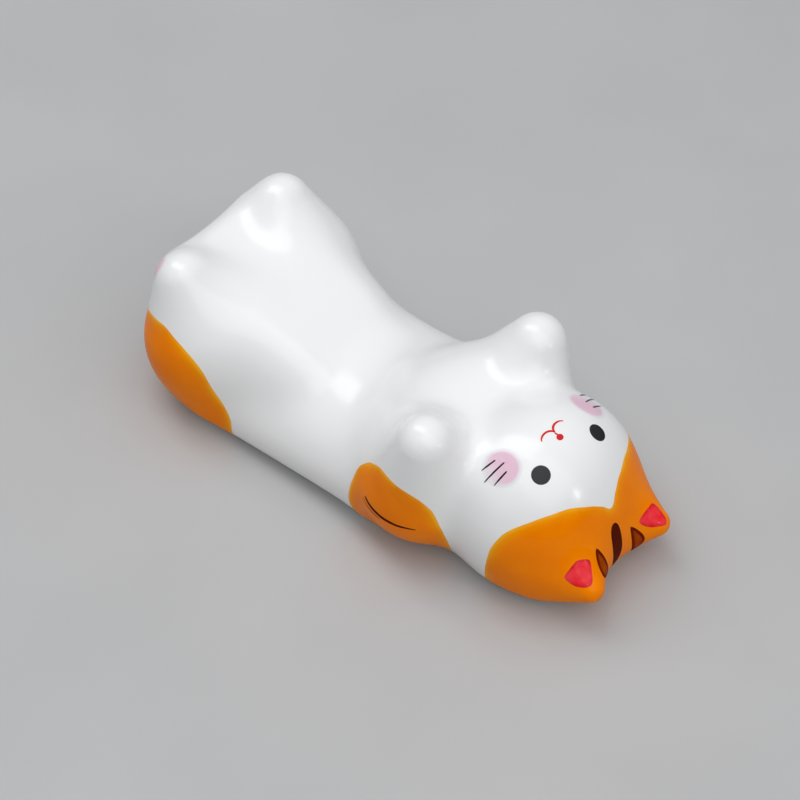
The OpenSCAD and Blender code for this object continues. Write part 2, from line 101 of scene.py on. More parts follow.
# %% [markdown]
# ## The porcelain form as a field
#
# A cast figure has no sharp edges: the slip rounds every corner and the glaze
# fills every crease. So the form is described by a distance field, built from
# a few egg-shaped masses and tapered limbs. Sculpting by hand would look as
# good, but a field can be asked how far any point is from the skin, which is
# what places the enamel later. The sizes are those of the CAD part. Only the
# last two limbs are not in it: they stand for glaze that pools in the hollows
# beside the paws and the arms and makes them shallower.

# %% Masses and limbs of the cat, in millimetres
# Each mass is an ellipsoid drawn out along a line: first and last middle point, half sizes
MASSES = [
    ((-19, 0, 2.5), (3.5, 0, 4.6), (8.9, 12.5, 8)),           # trunk
    ((-23, -5.5, 7.9), (-23, 5.5, 7.9), (8, 8.7, 8.3)),        # seat
    ((-15.1, -4.5, 8), (-15.1, 4.5, 8), (9.1, 5.9, 7.2)),      # thighs
    ((-27.3, -5.5, 15.1), (-27.3, 5.5, 15.1), (2.6, 2.6, 2.6)),  # ridge between the hind legs
    ((7.9, 0, 7.3), (7.9, 0, 7.3), (9.2, 10.1, 9.3)),          # chest
    ((20.3, 0, 7.9), (20.3, 0, 7.9), (9.7, 11.4, 10.7)),       # head
    ((-22, 0, 0), (19.5, 0, 0), (7, 8.5, 6)),                  # core above the foot
]
# Each limb is a cone with round ends: root, tip and their radii, on the left side
LIMBS = [
    ((-22.8, 8.5, 10.6), (-25.2, 8.6, 17.7), 5.2, 2.7),        # hind leg
    ((9.8, 7.9, 8.3), (11.7, 9.7, 17.8), 6.5, 3.1),            # arm
    ((25.3, 4, 4.8), (31.8, 6, 5.2), 5.3, 1.35),               # ear
    ((-19, 4.5, 10.5), (-24.6, 6.8, 15.7), 5.5, 2.4),          # glaze pooled in front of the paw
    ((9, 4, 10), (10.8, 7.4, 15), 4.2, 2.2),                   # glaze pooled behind the arm
]
HEAD = np.array((20.3, 0, 7.9))   # the middle of the head, where its coats are seen from
print(len(MASSES), "masses and", len(LIMBS), "pairs of limbs")


# %% Distance to one mass or one limb
def mass(p, first, last, half):
    """Signed distance from points p to an ellipsoid drawn out along a line."""
    first, along, half = np.array(first, float), np.subtract(last, first), np.array(half, float)
    span = along @ along
    t = np.clip((p - first) @ along / span, 0, 1) if span else np.zeros(len(p))
    u = (p - first - t[:, None] * along) / half
    size = np.linalg.norm(u, axis=1) + 1e-12
    return size * (size - 1) / (np.linalg.norm(u / half, axis=1) + 1e-12)


def limb(p, root, tip, root_r, tip_r):
    """Signed distance from points p to two spheres and the cone that touches both."""
    root, along = np.array(root, float), np.subtract(tip, root)
    span, taper = along @ along, root_r - tip_r
    rise2 = span - taper ** 2
    y = (p - root) @ along
    z = y - span
    x2 = (((p - root) * span - y[:, None] * along) ** 2).sum(1)
    k = np.sign(taper) * taper ** 2 * x2
    at_tip = np.sqrt(x2 + z * z * span) / span - tip_r
    at_root = np.sqrt(x2 + y * y * span) / span - root_r
    between = (np.sqrt(x2 * rise2 / span) + y * taper) / span - root_r
    return np.where(np.sign(z) * rise2 * z * z * span > k, at_tip,
                    np.where(np.sign(y) * rise2 * y * y * span < k, at_root, between))


print("the left arm's tip ends", round(-float(limb(np.array([LIMBS[1][1]]), *LIMBS[1])[0]), 1),
      "mm beyond its last point")

# %% [markdown]
# ## Melting the forms into one skin
#
# The nearest of all distances would join the forms with a hard crease. A soft
# minimum, the logarithm of a sum of powers, rounds each crease like wet slip
# between two pressed parts. The foot is cut flat at the height of the table,
# and its edge is rounded too, as a figure's foot is rubbed on a wet cloth.

# %% Melt masses and limbs, and cut the foot
MELT = 1.4        # how softly the forms run into each other, in mm
FOOT_EDGE = 3     # width of the soft edge round the foot, in mm


def skin(p):
    """Signed distance from points p to the glazed skin, negative inside."""
    total = sum(np.exp(-mass(p, *m) / MELT) for m in MASSES)
    for root, tip, root_r, tip_r in LIMBS:
        for s in (-1, 1):
            side = np.array((1, s, 1))
            total = total + np.exp(-limb(p, root * side, tip * side, root_r, tip_r) / MELT)
    d = -MELT * np.log(total)
    h = np.maximum(FOOT_EDGE - np.abs(d + p[:, 2]), 0) / FOOT_EDGE
    return np.maximum(d, -p[:, 2]) + h * h * FOOT_EDGE / 4


def slope(p, step=0.01):
    """Gradient of the field at points p: the way straight out of the skin."""
    return np.stack([(skin(p + step * axis) - skin(p - step * axis)) / (2 * step)
                     for axis in np.eye(3)], 1)


print("the middle of the head lies", round(-float(skin(HEAD[None])[0]), 1), "mm under the skin")

# %% [markdown]
# ## The porcelain body
#
# The CAD body has some nine thousand flat triangles, which would show in the
# glaze's reflections. A subdivision modifier would round them but also shrink
# the form. Instead a Remesh modifier lays an even net of small squares over
# the CAD body, and then every point of the net is moved along the slope of
# the field until it lies on the skin, a little nearer with each pull.

# %% Lay an even net over the body and pull it onto the skin
NET = 0.42   # width of its squares, in mm
PULLS = 6


def shown_mesh(obj):
    """The object's mesh with its modifiers applied."""
    seen = obj.evaluated_get(bpy.context.evaluated_depsgraph_get())
    return bpy.data.meshes.new_from_object(seen)


def points_of(mesh):
    """All points of a mesh, in millimetres."""
    flat = np.zeros(len(mesh.vertices) * 3)
    mesh.vertices.foreach_get("co", flat)
    return flat.reshape(-1, 3) / MM


def link(name, mesh):
    """A new object of that name in the scene."""
    obj = bpy.data.objects.new(name, mesh)
    bpy.context.scene.collection.objects.link(obj)
    return obj


draft = link("draft", frame["nodes"]["porcelain_body"].data.copy())
net = draft.modifiers.new("net", "REMESH")
net.mode = "VOXEL"
net.voxel_size = NET * MM
body = link("porcelain_cat", shown_mesh(draft))
bpy.data.objects.remove(draft)

points = points_of(body.data)
for pull in range(PULLS):
    g = slope(points)
    points -= (skin(points) / (g ** 2).sum(1))[:, None] * g
body.data.vertices.foreach_set("co", (points * MM).ravel())
body.data.shade_smooth()
body.data.update()
print("body:", len(body.data.polygons), "faces, furthest from the skin",
      round(float(np.abs(skin(points)).max()), 4), "mm")

# %% [markdown]
# ## Coats of enamel
#
# Enamel is brushed on in coats a few hundredths of a millimetre thick. Its
# edge stands up a hair and its middle is a little fuller. One could paint the
# colours into the body's own material, but then no colour could be changed or
# taken off by itself. So each coat is a thin closed shell. Rays from inside
# the cat find the skin, and the shell follows it on both sides: its lower
# face is sunk just under the glaze, and its upper face lies just above it.
# Each point also keeps its distance from the coat's rim, for the finish.

# %% Find the skin along rays
FAR = 27.5       # no point of the skin lies further from a coat's origin, in mm
HALVINGS = 24    # each halves the doubt about where the skin is


def unit(v):
    """Vectors v at length one."""
    v = np.asarray(v, float)
    return v / np.linalg.norm(v, axis=-1, keepdims=True)


def aim(turn, rise):
    """Unit vectors at a turn about +Z from +X and a rise above the table, in degrees."""
    turn, rise = np.radians(turn), np.radians(rise)
    return np.stack([np.cos(turn) * np.cos(rise), np.sin(turn) * np.cos(rise),
                     np.sin(rise) + 0 * turn], -1)


def reach(origin, rays, lift):
    """How far along each ray the level lies that is lift above the skin."""
    low, high = np.zeros(len(rays)), np.full(len(rays), FAR)
    for halving in range(HALVINGS):
        middle = (low + high) / 2
        out = skin(origin + middle[:, None] * rays) > lift
        low, high = np.where(out, low, middle), np.where(out, middle, high)
    return (low + high) / 2


print("the forehead is", round(float(reach(HEAD, aim([0.0], [0.0]), 0)[0]), 2),
      "mm in front of the head's middle")

# %% Build one closed shell
COAT_EDGE = 0.012   # height of a coat's rim above what it lies on
COAT_FULL = 0.035   # height of its middle
COAT_SWELL = 0.5    # distance from the rim over which it swells
COAT_SUNK = 0.05    # how deep its lower face lies under the glaze
SECOND = 0.03       # what a coat over another coat is raised by
RIM_ANGLE = 40      # an edge that turns more than this, in degrees, is drawn sharp


def from_rim(p, rim):
    """Distance of each point from the closed line through the points of the rim."""
    best = np.full(len(p), np.inf)
    for first, last in zip(rim, np.roll(rim, -1, 0)):
        along = last - first
        t = np.clip((p - first) @ along / max(along @ along, 1e-12), 0, 1)
        best = np.minimum(best, np.linalg.norm(p - first - t[:, None] * along, axis=1))
    return best


def shell(origin, rays, faces, rim, lift=0):
    """Points, faces and rim distances of a coat over the rays from the origin."""
    faces, rim = np.array(faces), np.array(rim)
    on_skin = origin + rays * reach(origin, rays, 0)[:, None]
    inward = from_rim(on_skin, on_skin[rim])
    s = np.clip(inward / COAT_SWELL, 0, 1)
    full = lift + COAT_EDGE + (COAT_FULL - COAT_EDGE) * s * s * (3 - 2 * s)
    top = origin + rays * reach(origin, rays, full)[:, None]
    low = origin + rays * reach(origin, rays, -COAT_SUNK)[:, None]
    a, b, c = (top[faces[:, i]] for i in (0, 1, 2))
    if (np.cross(b - a, c - a) * rays[faces[:, 0]]).sum() < 0:
        faces, rim = faces[:, ::-1], rim[::-1]
    n, after = len(rays), np.roll(rim, -1)
    sides = np.stack([rim, rim + n, after + n, after], 1)
    return (np.concatenate([top, low]), [faces, faces[:, ::-1] + n, sides],
            np.concatenate([inward, 0 * inward]))


def coat(name, node, shells, marks=None):
    """A piece of one or more shells that stands for a CAD node."""
    points, faces, inward, start = [], [], [], 0
    for p, groups, d in shells:
        points.append(p)
        inward.append(d)
        faces += [(face + start).tolist() for group in groups for face in group]
        start += len(p)
    mesh = bpy.data.meshes.new(name)
    mesh.from_pydata(np.concatenate(points) * MM, [], faces)
    mesh.update()
    mesh.shade_smooth()
    mesh.set_sharp_from_angle(angle=math.radians(RIM_ANGLE))
    held = mesh.attributes.new("from_rim", "FLOAT", "POINT")
    held.data.foreach_set("value", np.concatenate(inward).astype(np.float32))
    for mark, values in (marks or {}).items():
        mesh.attributes.new(mark, "FLOAT", "POINT").data.foreach_set(
            "value", np.asarray(values, np.float32))
    piece = link(name, mesh)
    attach(piece, "root")
    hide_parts(node)
    deep = np.concatenate(inward).max()
    print(f"{name}: {len(mesh.polygons)} faces, {deep:.1f} mm from rim to middle")
    return piece


print("a coat is at most", COAT_FULL, "mm thick above the glaze")


# %% Lay out a sheet or a fan of faces
def sheet(a, b):
    """Faces and rim of a net of a by b points."""
    i, j = (v.ravel() for v in np.meshgrid(range(a - 1), range(b - 1), indexing="ij"))
    k = i * b + j
    rim = (list(range(b - 1))
           + [n * b + b - 1 for n in range(a - 1)]
           + [(a - 1) * b + n for n in range(b - 1, 0, -1)]
           + [n * b for n in range(a - 1, 0, -1)])
    return np.stack([k, k + 1, k + b + 1, k + b], 1), rim


def fan(rings, m):
    """Faces and rim of rings of m points around a small inner ring closed by one face."""
    i, j = (v.ravel() for v in np.meshgrid(range(rings - 1), range(m), indexing="ij"))
    k, n = i * m + j, i * m + (j + 1) % m
    return np.stack([k, k + m, n + m, n], 1), [(rings - 1) * m + v for v in range(m)]


print("a sheet of 3 by 3 points has", len(sheet(3, 3)[0]), "faces")

# %% [markdown]
# ## The orange patches
#
# Three orange patches wrap the crown, the left elbow and the left of the
# rump. Each reaches down to a bare band above the table. A patch is a sheet
# of rays: its columns turn about the upright line, and its rows rise from the
# bare band to a brim. The brim is given by a few points, and a smooth curve
# runs through them, as a brush does.

# %% Brims of the three patches
BARE_BAND = 1.2   # height that stays white above the table, in mm
# Each place on a brim is a turn about the upright line and a rise, in degrees
HEAD_BRIM = [(-87, 8), (-85.5, 15), (-83.5, 25), (-81, 36.5), (-74, 46), (-64, 51), (-50, 55),
             (-33, 57), (-17, 55), (-7, 52), (0, 48.5), (9, 52.5), (19, 55), (31, 55.5),
             (46, 53), (62, 47), (72, 41), (80, 31), (85, 20), (88, 10)]
ELBOW_BRIM = [(233.5, 30), (234, 38), (235.5, 43.5), (246.5, 51.5), (260.5, 54), (276.5, 52),
              (290, 50), (300.5, 45.5), (306.5, 36.5), (311, 26), (314.5, 10)]
RUMP_BRIM = [(192, 12), (197, 28), (207, 39), (222, 46), (242, 50), (253, 51.5), (264, 52),
             (276.5, 49.5), (286, 46), (294, 40.5), (299.5, 32), (305.5, 22.5), (309, 14),
             (310, 5)]
CROWN_ROOT = (HEAD[0], 0, BARE_BAND)
ELBOW = (9.8, -3.95, BARE_BAND)
RUMP = (-23, -2.75, BARE_BAND)
print("the cap's brim reaches", max(rise for turn, rise in HEAD_BRIM), "degrees above the table")


# %% Wrap the patches round the body
CAP_NET, PATCH_NET = (281, 61), (121, 51)   # columns and rows of points


def smooth_through(places, x):
    """Height at x of a smooth curve through the places, which never overshoots them."""
    px, py = np.array(places, float).T
    run = np.diff(py) / np.diff(px)
    lean = np.concatenate([run[:1], np.where(run[1:] * run[:-1] > 0,
                           2 * run[1:] * run[:-1] / (run[1:] + run[:-1] + 1e-12), 0), run[-1:]])
    i = np.clip(np.searchsorted(px, x) - 1, 0, len(run) - 1)
    h = np.diff(px)[i]
    t = (x - px[i]) / h
    return (py[i] * (1 + 2 * t) * (1 - t) ** 2
            + lean[i] * h * t * (1 - t) ** 2
            + py[i + 1] * t * t * (3 - 2 * t)
            - lean[i + 1] * h * t * t * (1 - t))


def wrap(origin, brim, cols, rows):
    """A patch from the bare band up to its brim."""
    turn = np.linspace(brim[0][0], brim[-1][0], cols)
    top = smooth_through(brim, turn)
    turns, tops = np.repeat(turn, rows), np.repeat(top, rows)
    rays = aim(turns, tops * np.tile(np.linspace(0, 1, rows), cols))
    return shell(np.array(origin), rays, *sheet(cols, rows))


patches = [coat(name, node, [wrap(root, brim, *net)])
           for name, node, root, brim, net in (
               ("amber_cap", "head_patch", CROWN_ROOT, HEAD_BRIM, CAP_NET),
               ("amber_elbow", "elbow_patch", ELBOW, ELBOW_BRIM, PATCH_NET),
               ("amber_rump", "rump_patch", RUMP, RUMP_BRIM, PATCH_NET))]

# %% [markdown]
# ## Spots and strokes
#
# Everything else is a spot or a stroke. A spot is an outline round a
# direction, filled with rings of rays. A stroke follows a path and has its
# own width at each point, because a loaded brush starts wide and lifts off
# thin. The face is painted a little towards the cat's left, as on the real
# one, so its directions share one turn. Widths and heights are given in
# millimetres, and leans, turns and rises in degrees.

# %% Tools for spots
FACE_TURN = 6.5   # how far the face is painted off the middle, in degrees
LID = 0.04        # share of an outline's size that the innermost ring keeps


def gaze(lean, side):
    """Direction on the head at a lean from straight up to the crown and a turn to the side."""
    lean, side, turn = (math.radians(v) for v in (lean, side, FACE_TURN))
    x, y, z = (math.sin(lean) * math.cos(side), math.sin(side), math.cos(lean) * math.cos(side))
    return np.array((x * math.cos(turn) + y * math.sin(turn),
                     y * math.cos(turn) - x * math.sin(turn), z))


def board(origin, direction, up_hint):
    """Turns points [across, up] in millimetres on the skin round a direction into rays."""
    across = unit(np.cross(direction, up_hint))
    upward = np.cross(across, direction)
    length = reach(origin, np.array([direction]), 0)[0]
    return lambda q: unit(length * direction + q[:, :1] * across + q[:, 1:] * upward)


def filled(origin, to_rays, outline, rings, lift):
    """A shell over a closed outline, filled with rings that shrink to a small lid."""
    outline = np.array(outline, float)
    middle, m = outline.mean(0), len(outline)
    q = np.concatenate([middle + (outline - middle) * s for s in np.linspace(LID, 1, rings)])
    faces, rim = fan(rings, m)
    points, groups, inward = shell(origin, to_rays(q), faces, rim, lift)
    lid = np.arange(m)
    if groups[0][0][0] == faces[0][0]:
        lid = lid[::-1]
    return points, groups + [np.array([lid, lid[::-1] + len(q)])], inward


def spot(origin, direction, up_hint, outline, rings=9, lift=0):
    """A filled outline round a direction."""
    return filled(origin, board(origin, direction, up_hint), outline, rings, lift)


def oval(w, h, m=64):
    """An oval outline."""
    t = np.linspace(0, 2 * math.pi, m, endpoint=False)
    return np.stack([w / 2 * np.cos(t), h / 2 * np.sin(t)], 1)


print("the face looks along", np.round(gaze(0, 0), 2))

# %% Tools for strokes
LANES = 7        # points across a stroke
END_ROUND = 14   # the higher, the nearer to its end a stroke narrows
END_LEAST = 0.02   # square of the share of its width that an end keeps


def stroke(origin, to_rays, path, widths, steps=40, lift=0):
    """A brush stroke along a path [across, up] with a width at each of its points."""
    path = np.array(path, float)
    at, t = np.linspace(0, 1, len(path)), np.linspace(0, 1, steps)
    x, y = (smooth_through(list(zip(at, path[:, i])), t) for i in (0, 1))
    w = smooth_through(list(zip(np.linspace(0, 1, len(widths)), widths)), t)
    # A bristle brush leaves round ends
    w = w * np.sqrt(np.clip(1 - np.abs(2 * t - 1) ** END_ROUND, END_LEAST, 1))
    way = unit(np.stack([np.gradient(x), np.gradient(y)], 1))
    q = np.stack([np.stack([x - way[:, 1] * w * k, y + way[:, 0] * w * k], 1)
                  for k in np.linspace(-0.5, 0.5, LANES)], 1)
    return shell(origin, to_rays(q.reshape(-1, 2)), *sheet(steps, LANES), lift)


print("a stroke of 40 steps has", len(sheet(40, LANES)[0]), "faces on top")

# %% [markdown]
# ## The eyes
#
# The eyes are two round black dots, pressed on with the blunt end of a brush.
# A disc laid on the head would stand off it at one side, so the dot's outline
# is projected from the middle of the head onto the curved skin.

# %% Dot the eyes
CROWN = (1, 0, 0)   # the way from the belly to the crown
EYE_D, EYE_LEAN, EYE_TURN = 2.1, 22.5, 24
eyes = [coat(f"{side}_eye_dot", f"{side}_eye",
             [spot(HEAD, gaze(EYE_LEAN, s * EYE_TURN), CROWN, oval(EYE_D, EYE_D))])
        for side, s in (("left", -1), ("right", 1))]

# %% [markdown]
# ## The nose and the mouth
#
# One thin brush paints both: a dab for the nose, whose tail runs down to the
# middle of the mouth, and then two arcs that start from it. A line could be a
# curve with a bevel, but a round cord on the glaze looks like icing. A stroke
# is a flat coat with its own width at each point.

# %% Dab the nose and draw the mouth
NOSE_W, NOSE_H, NOSE_LEAN = 0.85, 0.75, 12
MOUTH_LEAN, MOUTH_R, MOUTH_H, MOUTH_W = 8, 1, 0.75, 0.24
TAIL_BEND, TAIL_TAPER = 0.03, (1, 0.8)
ARC_FROM, ARC_TO, ARC_TAPER = 180, 335, (1, 1.1, 1, 0.6)
on_nose = board(HEAD, gaze(NOSE_LEAN, 0), CROWN)
on_mouth = board(HEAD, gaze(MOUTH_LEAN, 0), CROWN)
deep = reach(HEAD, gaze(NOSE_LEAN, 0)[None], 0)[0]
tail = deep * math.tan(math.radians(NOSE_LEAN - MOUTH_LEAN))
nose = coat("nose_dab", "nose",
            [filled(HEAD, on_nose, oval(NOSE_W, NOSE_H), 9, 0),
             stroke(HEAD, on_nose, [(0, 0), (TAIL_BEND, -tail / 2), (0, -tail)],
                    [MOUTH_W * share for share in TAIL_TAPER])])
bend = np.radians(np.linspace(ARC_FROM, ARC_TO, 12))
arcs = [stroke(HEAD, on_mouth,
               np.stack([s * MOUTH_R * (1 + np.cos(bend)), MOUTH_H * np.sin(bend)], 1),
               [MOUTH_W * share for share in ARC_TAPER]) for s in (-1, 1)]
mouth = coat("mouth_line", "mouth", arcs)

# %% [markdown]
# ## The cheeks and the whiskers
#
# The cheeks are a soft pink blush, dabbed on with a sponge, and three thin
# whiskers cross each. The sponge lifts off towards the side and the back, and
# the pink thins out there. A picture could hold that fade, but then it would
# need an unwrapped mesh. Instead each point of a blush keeps a number that
# says how far outwards it lies, and the finish reads it later.

# %% Dab the cheeks
CHEEK_W, CHEEK_H, CHEEK_LEAN, CHEEK_TURN = 4.3, 4.7, 0.2, 36.3
BACK_SHARE = 0.5   # how much the back counts as outwards, where the side counts 1
cheeks = []
for side, s in (("left", -1), ("right", 1)):
    made = spot(HEAD, gaze(CHEEK_LEAN, s * CHEEK_TURN), CROWN, oval(CHEEK_W, CHEEK_H, 96), 20)
    outwards = s * made[0][:, 1] - made[0][:, 0] * BACK_SHARE
    cheeks.append(coat(f"{side}_blush", f"{side}_cheek", [made],
                       {"outwards": (outwards - outwards.min()) / np.ptp(outwards)}))

# %% Draw the whiskers over them
WHISKER_W, WHISKER_TAPER = 0.2, (1, 1.1, 0.4)
# Each whisker runs from its end near the eye to its far end, both as lean and turn
WHISKERS = {"left": [((-7, -35), (-12, -44)), ((-0.5, -33), (-5, -49)), ((5, -36), (4, -47))],
            "right": [((-12, 41), (-19, 52)), ((-2, 37), (-12, 55)), ((4.5, 38), (2.5, 50))]}
whiskers = []
for side, ends in WHISKERS.items():
    lines = []
    for near, far in ends:
        start, stop = gaze(*near), gaze(*far)
        middle = unit(start + stop)
        half = reach(HEAD, middle[None], 0)[0] * np.linalg.norm(stop - start) / 2
        lines.append(stroke(HEAD, board(HEAD, middle, stop - start),
                            [(0, -half), (0, 0), (0, half)],
                            [WHISKER_W * share for share in WHISKER_TAPER], 24, SECOND))
    whiskers.append(coat(f"{side}_whisker_lines", f"{side}_whiskers", lines))

# %% [markdown]
# ## The stripes on the forehead
#
# Three brown stripes lie between the ears. The middle one is a full stroke,
# blunt at both ends, and the outer ones are narrow leaves. They are painted
# over the dry orange, so they lie one coat higher. A stroke's width runs
# along its path, but these are drawn as outlines and filled in, so they are
# spots with a leaf for an outline.

# %% Paint the stripes
def leaf(w, h, left_share, blunt, m=64):
    """A leaf outline. blunt gives its upper and lower end: 0 is pointed, 1 round, 2 square.

    left_share of the width lies towards the cat's left."""
    t = np.linspace(0, 2 * math.pi, m, endpoint=False)
    point = 1 - np.where(np.sin(t) > 0, *blunt)
    side = np.where(np.cos(t) > 0, left_share, 1 - left_share)
    across = w * side * np.cos(t) * (1 - point * np.sin(t) ** 2 / 2)
    return np.stack([across, h / 2 * np.sin(t)], 1)


# Name, turn and rise of the middle, tilt, width and length, share on the left, blunt ends;
# the angles are in degrees
STRIPES = [("middle", -2, -6.5, 0, (1.7, 7), 0.5, (1.9, 1.3)),
           ("left", -16.5, -4.5, 17, (1.3, 4.2), 0.7, (0.3, 0)),
           ("right", 12, -13.5, 7, (1.3, 5), 0.3, (0.3, 0))]
stripes = []
for name, turn, rise, tilt, size, left_share, blunt in STRIPES:
    upright = (0, -math.sin(math.radians(tilt)), math.cos(math.radians(tilt)))
    made = spot(HEAD, aim(turn, rise), upright, leaf(*size, left_share, blunt), 9, SECOND)
    stripes.append(coat(f"{name}_brush_mark", f"{name}_stripe", [made]))

# %% [markdown]
# ## The linings of the ears
#
# Each ear has a glossy pink dab on the side that looks up. Both are painted
# freely, so neither is a true triangle and they differ. A few corners, seen
# from the root of the ear, give the outline, and a smooth closed line through
# them rounds it as wet enamel does.

# %% Dab the linings
def closed_through(places, between=8):
    """A closed smooth line through the places."""
    here = np.array(places, float)
    before, there, after = np.roll(here, 1, 0), np.roll(here, -1, 0), np.roll(here, -2, 0)
    t = np.linspace(0, 1, between, endpoint=False)[None, :, None]
    parts = [v[:, None] for v in (before, here, there, after)]
    curve = (parts[1] + t / 2 * (parts[2] - parts[0])
             + t ** 2 / 2 * (2 * parts[0] - 5 * parts[1] + 4 * parts[2] - parts[3])
             + t ** 3 / 2 * (3 * parts[1] - 3 * parts[2] + parts[3] - parts[0]))
    return curve.reshape(-1, 2)


# Corners as turn and rise in degrees
LININGS = {"left": [(-21, 38), (-10.5, 33.5), (-14, 22.5), (-20, 14.5), (-32, 14.5),
                    (-41.5, 22), (-40.5, 27.5), (-29, 37)],
           "right": [(20.5, 26.5), (21.5, 19), (15.5, 9.5), (9.5, 9.5), (-0.5, 14.5),
                     (-7, 24.5), (3.5, 28.5), (14, 28.5)]}
EAR_ROOT = np.array(LIMBS[2][0])
linings = [coat(f"{side}_ear_gloss", f"{side}_ear_lining",
                [filled(EAR_ROOT * (1, s, 1), lambda q: aim(q[:, 0], q[:, 1]),
                        closed_through(LININGS[side]), 12, SECOND)])
           for side, s in (("left", -1), ("right", 1))]

# %% [markdown]
# ## The line on the elbow
#
# A brown line on the orange elbow draws the fold of the arm. The brush lands
# full and lifts off thin, and a stray bristle leaves a hair beside it. Both
# are strokes on the same skin, so they are made as one piece. Their paths are
# given in angles, as the brim of the patch below them is, and only their
# widths are in millimetres.

# %% Draw the line and its hair
ELBOW_LINE = [(252, 36), (257.5, 34), (264.5, 33), (271, 32.5), (278, 32.5), (284.5, 33),
              (291.5, 33.5)]
ELBOW_LINE_W, ELBOW_LINE_TAPER = 0.42, (0.75, 1, 0.9, 0.65, 0.3)
HAIR = [(250, 34), (254.5, 31.7), (260.5, 30.7), (266.5, 30.3)]
HAIR_W, HAIR_TAPER = 0.14, (0.5, 1, 0.5)


def angle_stroke(places, width, taper):
    """A stroke over the elbow through places [turn, rise]. taper gives shares of its width."""
    middle = aim(*np.array(places[len(places) // 2], float))
    per_mm = math.degrees(1 / reach(np.array(ELBOW), middle[None], 0)[0])
    return stroke(np.array(ELBOW), lambda q: aim(q[:, 0], q[:, 1]), places,
                  [width * per_mm * share for share in taper], 61, SECOND)


elbow_line = coat("elbow_fold_line", "elbow_line",
                  [angle_stroke(ELBOW_LINE, ELBOW_LINE_W, ELBOW_LINE_TAPER),
                   angle_stroke(HAIR, HAIR_W, HAIR_TAPER)])

# %% [markdown]
# ## The pads under the hind paws
#
# The soles carry a pink oval each, in the same colour as the cheeks. From
# above only the rim of the near one shows. The blush finish also reads how
# far outwards a point lies, so the pads keep a plain zero for that.

# %% Dab the pads
PAD_W, PAD_H, PAD_TURN, PAD_RISE = 3.3, 4, 23, 22
PAW = np.array(LIMBS[0][1])
pads = []
for side, s in (("left", -1), ("right", 1)):
    made = spot(PAW * (1, s, 1), aim(180 - s * PAD_TURN, PAD_RISE), (0, 0, 1),
                oval(PAD_W, PAD_H), 12)
    pads.append(coat(f"{side}_sole_pad", f"{side}_paw_pad", [made],
                     {"outwards": np.zeros(len(made[0]))}))

# %% [markdown]
# ## The glaze
#
# Porcelain is white all through. The glaze over it is clear glass, which the
# Principled shader has a coat for. A slow noise bends the surface by a few
# hundredths of a millimetre, as a fired glaze is never quite flat, and a
# second one tints the white by a hair. The noise reads the object's own
# coordinates, so it needs no unwrapped mesh.

# %% Helpers for colours
def finish_named(name):
    """A new material with its nodes, its links and its Principled shader."""
    made = bpy.data.materials.new(name)
    made.use_nodes = True
    tree = made.node_tree
    return made, tree, tree.nodes["Principled BSDF"]


def noise(tree, size_mm, detail=2.0, rough=0.5):
    """Noise whose patches are about size_mm wide, from the object's own coordinates."""
    place = tree.nodes.new("ShaderNodeTexCoord")
    made = tree.nodes.new("ShaderNodeTexNoise")
    made.inputs["Scale"].default_value = 1 / (size_mm * MM)
    made.inputs["Detail"].default_value = detail
    made.inputs["Roughness"].default_value = rough
    tree.links.new(place.outputs["Object"], made.inputs["Vector"])
    return made.outputs["Fac"]


def ramp(tree, value, stops):
    """Colours over a value: stops are (position, colour)."""
    made = tree.nodes.new("ShaderNodeValToRGB")
    tree.links.new(value, made.inputs["Fac"])
    band = made.color_ramp
    band.elements[0].position, band.elements[1].position = stops[0][0], stops[-1][0]
    band.elements[0].color, band.elements[1].color = (*stops[0][1], 1), (*stops[-1][1], 1)
    for position, colour in stops[1:-1]:
        band.elements.new(position).color = (*colour, 1)
    return made.outputs["Color"]


def mix(tree, share, first, second):
    """Mixes two colours, each a socket or a colour, by a share, a socket or a number."""
    made = tree.nodes.new("ShaderNodeMix")
    made.data_type = "RGBA"
    for name, value in (("Factor", share), ("A", first), ("B", second)):
        socket = [i for i in made.inputs if i.name == name and i.enabled][0]
        if isinstance(value, bpy.types.NodeSocket):
            tree.links.new(value, socket)
        else:
            socket.default_value = (*value, 1) if isinstance(value, tuple) else value
    return [o for o in made.outputs if o.enabled][0]


print("four helpers for colours are ready")


# %% Helpers for values and for the gloss
DULL = 0.6       # roughness of a colour under its glass
GLASSY = 0.03    # roughness of the glass


def kept_share(tree, mark, first, last):
    """A value that a coat's points keep, as 0 at first up to 1 at last."""
    kept = tree.nodes.new("ShaderNodeAttribute")
    kept.attribute_name = mark
    made = tree.nodes.new("ShaderNodeMapRange")
    made.interpolation_type = "SMOOTHSTEP"
    made.inputs["From Min"].default_value = first
    made.inputs["From Max"].default_value = last
    tree.links.new(kept.outputs["Fac"], made.inputs["Value"])
    return made.outputs["Result"]


def product(tree, first, second):
    """Product of a socket and a socket or a number."""
    made = tree.nodes.new("ShaderNodeMath")
    made.operation = "MULTIPLY"
    tree.links.new(first, made.inputs[0])
    if isinstance(second, bpy.types.NodeSocket):
        tree.links.new(second, made.inputs[1])
    else:
        made.inputs[1].default_value = second
    return made.outputs["Value"]


def ripple(tree, shader, depth_mm, size_mm):
    """A glassy surface that is never quite flat."""
    made = tree.nodes.new("ShaderNodeBump")
    made.inputs["Distance"].default_value = depth_mm * MM
    tree.links.new(noise(tree, size_mm, 1.5), made.inputs["Height"])
    tree.links.new(made.outputs["Normal"], shader.inputs["Normal"])
    tree.links.new(made.outputs["Normal"], shader.inputs["Coat Normal"])


def glossy(shader, index=1.5, weight=1.0):
    """Clear glass over a dull colour."""
    shader.inputs["Specular IOR Level"].default_value = 0
    shader.inputs["Roughness"].default_value = DULL
    shader.inputs["Coat Weight"].default_value = weight
    shader.inputs["Coat Roughness"].default_value = GLASSY
    shader.inputs["Coat IOR"].default_value = index


print("roughness under and of the glass:", DULL, GLASSY)

